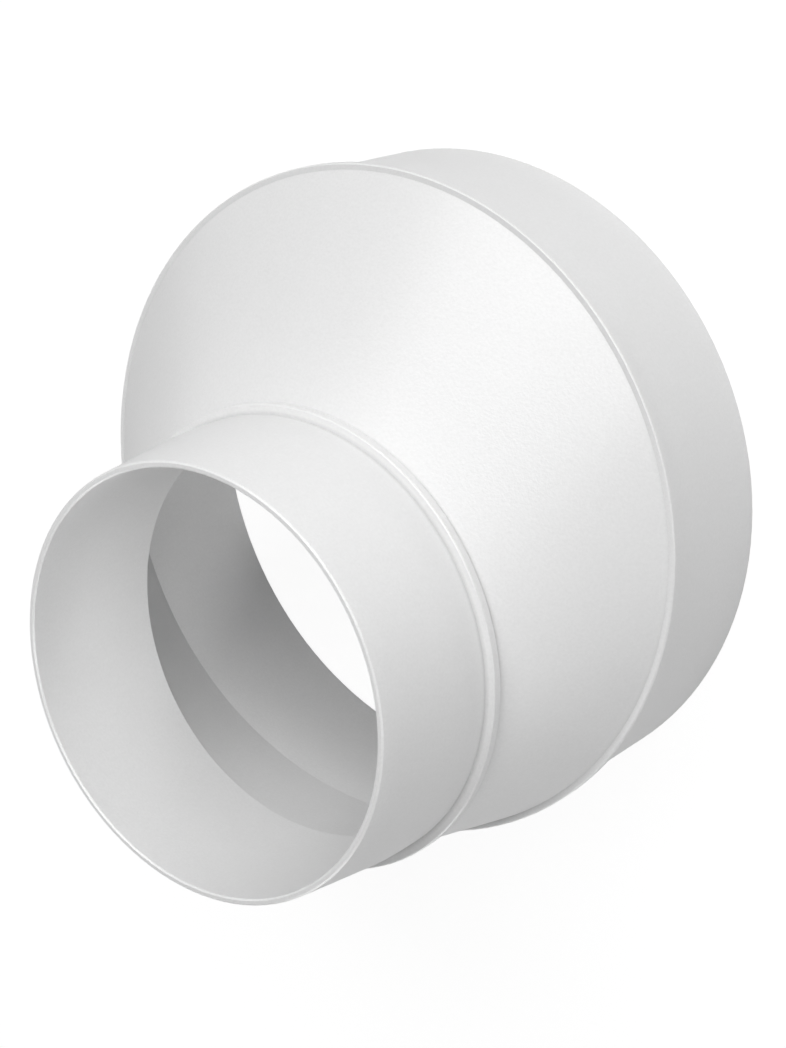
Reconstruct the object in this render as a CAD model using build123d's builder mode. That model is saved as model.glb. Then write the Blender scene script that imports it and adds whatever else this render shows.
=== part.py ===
"""Eccentric duct reducer, 150 mm to 100 mm, moulded in one piece of white plastic.

The air path runs upright along Z. The large spigot stands on its rim at Z = 0, with its axis on the Z axis,
and the small spigot is on top. Its axis is parallel and lies further back, toward +Y, so that the stop beads
of both spigots touch one upright plane: the back is flat, and all of the change in size is at the front.
"""

import math
import os

from build123d import *

# Wall at the rims, and their broken edges
wall = 1.4
rim_chamfer = 0.25 * wall

# Large spigot
large_spigot_diameter = 148.5
large_spigot_length = 34.0

# Small spigot: outside, a straight seat next to its bead, then a lead-in taper to the rim. Its bore is straight
small_seat_diameter = 100.0
small_rim_diameter = 95.0
small_spigot_length = 31.5
small_seat_length = 8.0
seat_blend_radius = 40.0

# Stop beads, against which the pipes come to rest
large_bead_height = 1.4
small_bead_height = 2.2
bead_width = 2.4
bead_chamfer = 0.2 * min(small_bead_height, large_bead_height, bead_width)

# Sloping wall between the beads. Inside, the slope starts and ends a little lower than outside
cone_height = 24.5
inner_base_drop = 1.1
inner_top_drop = 2.2

# Radii
large_radius = large_spigot_diameter / 2
large_bead_radius = large_radius + large_bead_height
large_bore_radius = large_radius - wall
small_seat_radius = small_seat_diameter / 2
small_rim_radius = small_rim_diameter / 2
small_bead_radius = small_seat_radius + small_bead_height
small_bore_radius = min(small_rim_radius, small_seat_radius) - wall

# Axes of the two spigots. The small one is set back until both beads touch the same upright plane
small_axis_y = large_bead_radius - small_bead_radius
large_axis = Axis.Z
small_axis = Axis((0, small_axis_y, 0), (0, 0, 1))

# Heights above the large rim
large_stop_z = large_spigot_length
cone_base_z = large_stop_z + bead_width
cone_top_z = cone_base_z + cone_height
small_stop_z = cone_top_z + bead_width
seat_end_z = small_stop_z + small_seat_length
small_rim_z = small_stop_z + small_spigot_length
inner_base_z = cone_base_z - inner_base_drop
inner_top_z = cone_top_z - inner_top_drop

# The blend from the seat into the taper takes up at most four fifths of the seat
taper_angle = math.atan2(abs(small_seat_radius - small_rim_radius), small_rim_z - seat_end_z)
seat_blend = min(seat_blend_radius, 0.8 * small_seat_length / math.tan(taper_angle / 2))


def cross_section(y, z):
    """Level plane across the air path at a height, centred on an axis."""
    return Plane(origin=(0, y, z), x_dir=(1, 0, 0), z_dir=(0, 0, 1))


def corner(sketch, y, z):
    """The corner of an upright profile that lies at the given place."""
    return sketch.vertices().sort_by_distance((y, z))[0]


with BuildPart() as reducer:
    # Outside of the large spigot and its bead, turned about the large axis
    with BuildSketch(Plane.YZ) as large_outside:
        with BuildLine():
            Polyline(
                (0, 0),
                (large_radius, 0),
                (large_radius, large_stop_z),
                (large_bead_radius, large_stop_z),
                (large_bead_radius, cone_base_z),
                (0, cone_base_z),
                close=True,
            )
        make_face()
        chamfer(corner(large_outside, large_bead_radius, large_stop_z), bead_chamfer)
        chamfer(corner(large_outside, large_bead_radius, cone_base_z), bead_chamfer)
    revolve(axis=large_axis)

    # Outside of the sloping wall, from the large circle to the small one on the axis further back
    with BuildSketch(cross_section(0, cone_base_z)):
        Circle(large_radius)
    with BuildSketch(cross_section(small_axis_y, cone_top_z)):
        Circle(small_seat_radius)
    loft()

    # Outside of the small bead and spigot, turned about the small axis
    with BuildSketch(Plane.YZ) as small_outside:
        bead_y = small_axis_y + small_bead_radius
        seat_y = small_axis_y + small_seat_radius
        with BuildLine():
            Polyline(
                (small_axis_y, cone_top_z),
                (bead_y, cone_top_z),
                (bead_y, small_stop_z),
                (seat_y, small_stop_z),
                (seat_y, seat_end_z),
                (small_axis_y + small_rim_radius, small_rim_z),
                (small_axis_y, small_rim_z),
                close=True,
            )
        make_face()
        fillet(corner(small_outside, seat_y, seat_end_z), seat_blend)
        chamfer(corner(small_outside, bead_y, cone_top_z), bead_chamfer)
        chamfer(corner(small_outside, bead_y, small_stop_z), bead_chamfer)
    revolve(axis=small_axis)

    # Bore of the large spigot
    with BuildSketch(cross_section(0, 0)):
        Circle(large_bore_radius)
    extrude(amount=inner_base_z, mode=Mode.SUBTRACT)

    # Inside of the sloping wall
    with BuildSketch(cross_section(0, inner_base_z)):
        Circle(large_bore_radius)
    with BuildSketch(cross_section(small_axis_y, inner_top_z)):
        Circle(small_bore_radius)
    loft(mode=Mode.SUBTRACT)

    # Bore of the small spigot
    with BuildSketch(cross_section(small_axis_y, inner_top_z)):
        Circle(small_bore_radius)
    extrude(amount=small_rim_z - inner_top_z, mode=Mode.SUBTRACT)

    # Broken edges of the rims at both ends
    chamfer(reducer.edges().group_by(Axis.Z)[0], rim_chamfer)
    chamfer(reducer.edges().group_by(Axis.Z)[-1], rim_chamfer)

reducer.part.label = "duct_reducer"

os.makedirs("parts", exist_ok=True)
export_step(reducer.part, "parts/duct_reducer.step")
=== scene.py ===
"""The duct reducer in a white studio, seen as in the photograph."""

import math

import bpy
from mathutils import Matrix, Vector


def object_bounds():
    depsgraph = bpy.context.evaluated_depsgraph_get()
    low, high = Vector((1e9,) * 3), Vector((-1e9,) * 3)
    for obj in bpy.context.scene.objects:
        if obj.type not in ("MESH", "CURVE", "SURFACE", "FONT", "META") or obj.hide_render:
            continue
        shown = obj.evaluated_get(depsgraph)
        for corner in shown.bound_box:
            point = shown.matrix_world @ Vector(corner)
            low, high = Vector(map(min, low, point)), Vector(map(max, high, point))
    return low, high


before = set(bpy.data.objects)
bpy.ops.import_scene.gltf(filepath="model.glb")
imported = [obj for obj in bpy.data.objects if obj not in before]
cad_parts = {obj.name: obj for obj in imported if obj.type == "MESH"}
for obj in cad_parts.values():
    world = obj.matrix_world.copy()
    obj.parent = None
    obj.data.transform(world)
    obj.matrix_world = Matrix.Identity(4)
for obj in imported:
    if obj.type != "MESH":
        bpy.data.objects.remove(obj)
cad_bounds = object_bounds()

# Photograph and camera: sizes in pixels and millimetres, place in metres, angles in degrees
PHOTO_HEIGHT = 1048
FOCAL_PIXELS = 2194.0
SENSOR_MM = 36.0
CLIP_START = 0.01
CAMERA_PLACE = Vector((-0.26475, -0.16858, 0.40403))
CAMERA_AZIMUTH = -56.603
CAMERA_ELEVATION = 49.830
CAMERA_ROLL = -113.394

# Floor and surroundings. What looks at them directly sees the floor's white and a share of its lit grey
FLOOR_SIZE = 1.8
FLOOR_GREY = 0.62
FLOOR_WHITE = 0.91
FLOOR_SHADOW_SHARE = 0.25
GLOSSY_WHITE_SHARE = 0.3
WHITE = (1.0, 1.0, 1.0, 1.0)

# Soft lights: name, azimuth and elevation in degrees, width and height in metres, power in watts
LIGHT_CENTRE = Vector((0.0, 0.0, 0.047))
LIGHT_DISTANCE = 1.2
SOFTBOXES = (
    ("front", -8.0, 30.0, 1.6, 0.7, 2.6),
    ("front_high", -15.0, 50.0, 1.4, 0.6, 11.6),
    ("left", -75.0, 14.5, 1.2, 0.5, 3.0),
    ("back", 175.0, 10.0, 1.2, 0.35, 6.6),
    ("right", 60.0, 15.0, 1.2, 0.5, 1.3),
    ("fill", 125.0, 8.0, 1.2, 0.5, 2.5),
)

# Lamp that shines into the small bore: middle of the opening, direction, radius of the beam there, power
BORE_OPENING = Vector((0.0, 0.02345, 0.0948))
BORE_LAMP_AZIMUTH = -106.0
BORE_LAMP_ELEVATION = 46.0
BORE_LAMP_DISTANCE = 1.0
BORE_LAMP_RADIUS = 0.045
BORE_LAMP_WATTS = 14.5
BORE_LAMP_BLEND = 0.4
BORE_LAMP_SIZE = 0.01

# White moulded plastic. Scales are in waves per metre
PLASTIC_IOR = 1.5
PLASTIC_COLOUR = 0.88
PLASTIC_COLOUR_SPREAD = 0.012
PLASTIC_COLOUR_SCALE = 35.0
PLASTIC_ROUGHNESS = 0.3
PLASTIC_ROUGHNESS_SPREAD = 0.05
PLASTIC_ROUGHNESS_SCALE = 90.0

# Fine grain of its surface
GRAIN_SCALE = 1700.0
GRAIN_TONE_SPREAD = 0.05
GRAIN_BUMP_STRENGTH = 0.3
GRAIN_DEPTH = 0.0001

# Painted shade in the creases beside the beads, which darkens the colour there: width in metres, share of
# the open sky that counts as a full crease, and the tone left there
CREASE_REACH = 0.0011
CREASE_OPENNESS = 0.5
PAINTED_CREASE_SHADE = 0.78
CREASE_SAMPLES = 4


def view_axes(azimuth, elevation, roll=0.0):
    """Right, up and backward directions of a camera or lamp, from angles in degrees."""
    az, el, turn = (math.radians(angle) for angle in (azimuth, elevation, roll))
    back = Vector((math.sin(az) * math.cos(el), -math.cos(az) * math.cos(el), math.sin(el)))
    right = Vector((math.cos(az), math.sin(az), 0.0))
    up = back.cross(right)
    rolled_right = right * math.cos(turn) + up * math.sin(turn)
    rolled_up = up * math.cos(turn) - right * math.sin(turn)
    return rolled_right, rolled_up, back


def placed(place, axes):
    """Matrix that puts a camera or lamp at a place, with the given axes."""
    return Matrix.Translation(place) @ Matrix(axes).transposed().to_4x4()


def add_object(name, data):
    """New object in the scene that shows the given data."""
    thing = bpy.data.objects.new(name, data)
    bpy.context.collection.objects.link(thing)
    return thing


def add_camera():
    """Camera at the place and angle from which the photograph was taken."""
    data = bpy.data.cameras.new("photo_camera")
    data.sensor_width = SENSOR_MM
    data.lens = FOCAL_PIXELS * SENSOR_MM / PHOTO_HEIGHT
    data.clip_start = CLIP_START
    camera = add_object("photo_camera", data)
    camera.matrix_world = placed(CAMERA_PLACE, view_axes(CAMERA_AZIMUTH, CAMERA_ELEVATION, CAMERA_ROLL))
    bpy.context.scene.camera = camera


def combined(tree, operation, first, second):
    """Socket with the result of a calculation on two sockets."""
    node = tree.nodes.new("ShaderNodeMath")
    node.operation = operation
    tree.links.new(first, node.inputs[0])
    tree.links.new(second, node.inputs[1])
    return node.outputs[0]


def mapped(tree, value, low, high, start=0.0):
    """Socket that runs from low to high while the value runs from the start to 1."""
    node = tree.nodes.new("ShaderNodeMapRange")
    node.inputs["From Min"].default_value = start
    node.inputs["To Min"].default_value = low
    node.inputs["To Max"].default_value = high
    tree.links.new(value, node.inputs["Value"])
    return node.outputs["Result"]


def seen_directly(tree):
    """Socket that is 1 for camera and transmission rays, less for glossy rays, and 0 for other light."""
    path = tree.nodes.new("ShaderNodeLightPath")
    straight = combined(tree, "MAXIMUM", path.outputs["Is Camera Ray"], path.outputs["Is Transmission Ray"])
    glossy = mapped(tree, path.outputs["Is Glossy Ray"], 0.0, GLOSSY_WHITE_SHARE)
    return combined(tree, "MAXIMUM", glossy, straight)


def add_world():
    """Surroundings that look white and leave the lighting to the lamps."""
    world = bpy.data.worlds.new("studio")
    bpy.context.scene.world = world
    world.use_nodes = True
    tree = world.node_tree
    background = tree.nodes["Background"]
    background.inputs["Color"].default_value = WHITE
    tree.links.new(seen_directly(tree), background.inputs["Strength"])


def floor_material():
    """Pale matt floor that looks white and keeps a faint shadow."""
    material = bpy.data.materials.new("floor_white")
    material.use_nodes = True
    tree = material.node_tree
    tree.nodes.clear()
    output = tree.nodes.new("ShaderNodeOutputMaterial")
    seen = seen_directly(tree)
    matt = tree.nodes.new("ShaderNodeBsdfDiffuse")
    grey = mapped(tree, seen, FLOOR_GREY, FLOOR_GREY * FLOOR_SHADOW_SHARE)
    tree.links.new(grey, matt.inputs["Color"])
    white = tree.nodes.new("ShaderNodeEmission")
    tree.links.new(mapped(tree, seen, 0.0, FLOOR_WHITE), white.inputs["Strength"])
    both = tree.nodes.new("ShaderNodeAddShader")
    tree.links.new(matt.outputs["BSDF"], both.inputs[0])
    tree.links.new(white.outputs["Emission"], both.inputs[1])
    tree.links.new(both.outputs["Shader"], output.inputs["Surface"])
    return material


def add_floor():
    """Floor under the large rim on which the part stands."""
    half = FLOOR_SIZE / 2
    corners = [(-half, -half, 0), (half, -half, 0), (half, half, 0), (-half, half, 0)]
    mesh = bpy.data.meshes.new("floor")
    mesh.from_pydata(corners, [], [(0, 1, 2, 3)])
    mesh.materials.append(floor_material())
    floor = add_object("floor", mesh)
    floor.location.z = cad_bounds[0][2]


def add_softbox(name, azimuth, elevation, width, height, watts):
    """Rectangular soft light on a sphere round the object, facing its middle."""
    data = bpy.data.lights.new(name, "AREA")
    data.shape = "RECTANGLE"
    data.size = width
    data.size_y = height
    data.energy = watts
    axes = view_axes(azimuth, elevation)
    lamp = add_object(name, data)
    lamp.matrix_world = placed(LIGHT_CENTRE + axes[2] * LIGHT_DISTANCE, axes)


def add_bore_lamp():
    """Narrow beam with the outline of the small bore's opening, as that is seen from the lamp."""
    data = bpy.data.lights.new("bore_lamp", "SPOT")
    data.spot_size = 2 * math.atan(BORE_LAMP_RADIUS / BORE_LAMP_DISTANCE)
    data.spot_blend = BORE_LAMP_BLEND
    data.shadow_soft_size = BORE_LAMP_SIZE
    data.energy = BORE_LAMP_WATTS
    axes = view_axes(BORE_LAMP_AZIMUTH, BORE_LAMP_ELEVATION)
    flat = Matrix.Diagonal((1.0, math.sin(math.radians(BORE_LAMP_ELEVATION)), 1.0, 1.0))
    lamp = add_object("bore_lamp", data)
    lamp.matrix_world = placed(BORE_OPENING + axes[2] * BORE_LAMP_DISTANCE, axes) @ flat


def add_lights():
    """Soft lights round the part, and the lamp for its bore."""
    for softbox in SOFTBOXES:
        add_softbox(*softbox)
    add_bore_lamp()


def noise(tree, scale, detail=2.0):
    """Socket with an irregular value between 0 and 1 over the object."""
    place = tree.nodes.new("ShaderNodeTexCoord")
    node = tree.nodes.new("ShaderNodeTexNoise")
    node.inputs["Scale"].default_value = scale
    node.inputs["Detail"].default_value = detail
    tree.links.new(place.outputs["Object"], node.inputs["Vector"])
    return node.outputs["Fac"]


def spread(tree, value, middle, reach):
    """Socket that varies by the given reach round a middle value."""
    return mapped(tree, value, middle - reach, middle + reach)


def painted_crease_shade(tree):
    """Socket with painted shade, which is 1 on open surfaces and lower in creases."""
    crease = tree.nodes.new("ShaderNodeAmbientOcclusion")
    crease.samples = CREASE_SAMPLES
    crease.only_local = True
    crease.inputs["Distance"].default_value = CREASE_REACH
    # Painted shade: the ambient-occlusion value lowers the colour in the creases
    return mapped(tree, crease.outputs["AO"], PAINTED_CREASE_SHADE, 1.0, CREASE_OPENNESS)


def plastic_tone_and_painted_shade(tree, grain):
    """Socket with the tone of the plastic: slight unevenness, fine grain and painted shade that darkens the
    creases.
    """
    even = spread(tree, noise(tree, PLASTIC_COLOUR_SCALE), PLASTIC_COLOUR, PLASTIC_COLOUR_SPREAD)
    grained = combined(tree, "MULTIPLY", even, spread(tree, grain, 1.0, GRAIN_TONE_SPREAD))
    # Painted shade: the colour is darkened in the creases beside the beads
    return combined(tree, "MULTIPLY", grained, painted_crease_shade(tree))


def plastic_gloss(tree):
    """Socket with the roughness of the plastic."""
    uneven = noise(tree, PLASTIC_ROUGHNESS_SCALE, detail=3.0)
    return spread(tree, uneven, PLASTIC_ROUGHNESS, PLASTIC_ROUGHNESS_SPREAD)


def grain_normal(tree, grain):
    """Socket with the surface direction that the fine grain gives."""
    bump = tree.nodes.new("ShaderNodeBump")
    bump.inputs["Strength"].default_value = GRAIN_BUMP_STRENGTH
    bump.inputs["Distance"].default_value = GRAIN_DEPTH
    tree.links.new(grain, bump.inputs["Height"])
    return bump.outputs["Normal"]


def plastic_material():
    """Satin white moulded plastic with slight unevenness in tone, gloss and surface, and painted shade in
    its creases.
    """
    material = bpy.data.materials.new("white_plastic_satin_with_painted_shade")
    material.use_nodes = True
    tree = material.node_tree
    shader = tree.nodes["Principled BSDF"]
    shader.inputs["IOR"].default_value = PLASTIC_IOR
    grain = noise(tree, GRAIN_SCALE)
    # The base colour carries painted shade in the creases beside the beads
    tree.links.new(plastic_tone_and_painted_shade(tree, grain), shader.inputs["Base Color"])
    tree.links.new(plastic_gloss(tree), shader.inputs["Roughness"])
    tree.links.new(grain_normal(tree, grain), shader.inputs["Normal"])
    return material


def dress_reducer():
    """Gives the moulded body its finish, with painted shade in its creases."""
    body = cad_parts["duct_reducer"]
    plastic = plastic_material()
    for material_slot in body.material_slots:
        material_slot.material = plastic


bpy.context.scene.view_settings.view_transform = "Standard"
dress_reducer()
add_world()
add_floor()
add_lights()
add_camera()
